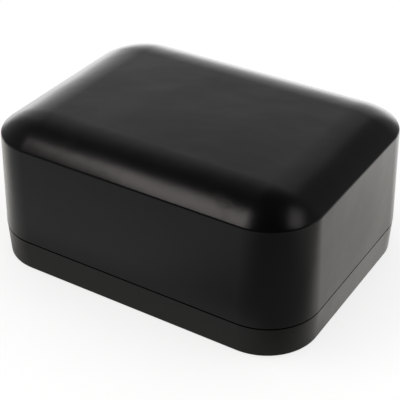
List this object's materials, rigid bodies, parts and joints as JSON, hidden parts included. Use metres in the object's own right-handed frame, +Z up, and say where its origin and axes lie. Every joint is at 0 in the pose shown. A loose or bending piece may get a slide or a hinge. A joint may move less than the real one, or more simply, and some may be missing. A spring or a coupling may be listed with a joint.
{
  "type": "plastic project box",
  "caption": "Rectangular plastic enclosure with rounded corners: a deep shell with a domed top stands on a shallow base cover that screws into it from below.",
  "frame": {"origin": "centre of the underside, on the surface that the box stands on", "axes": "+X along the long side, +Y across it, +Z up through the domed top"},
  "size_m": [0.1, 0.076, 0.044],
  "materials": {
    "shell_plastic": "black ABS, satin gloss from a polished mould, faint handling marks",
    "base_plastic": "black ABS, a little duller than the shell",
    "screw_steel": "bright zinc plate"
  },
  "bodies": {
    "root": {"upper_shell": "shell_plastic", "base_cover": "base_plastic", "case_screws": "screw_steel"}
  },
  "joints": []
}
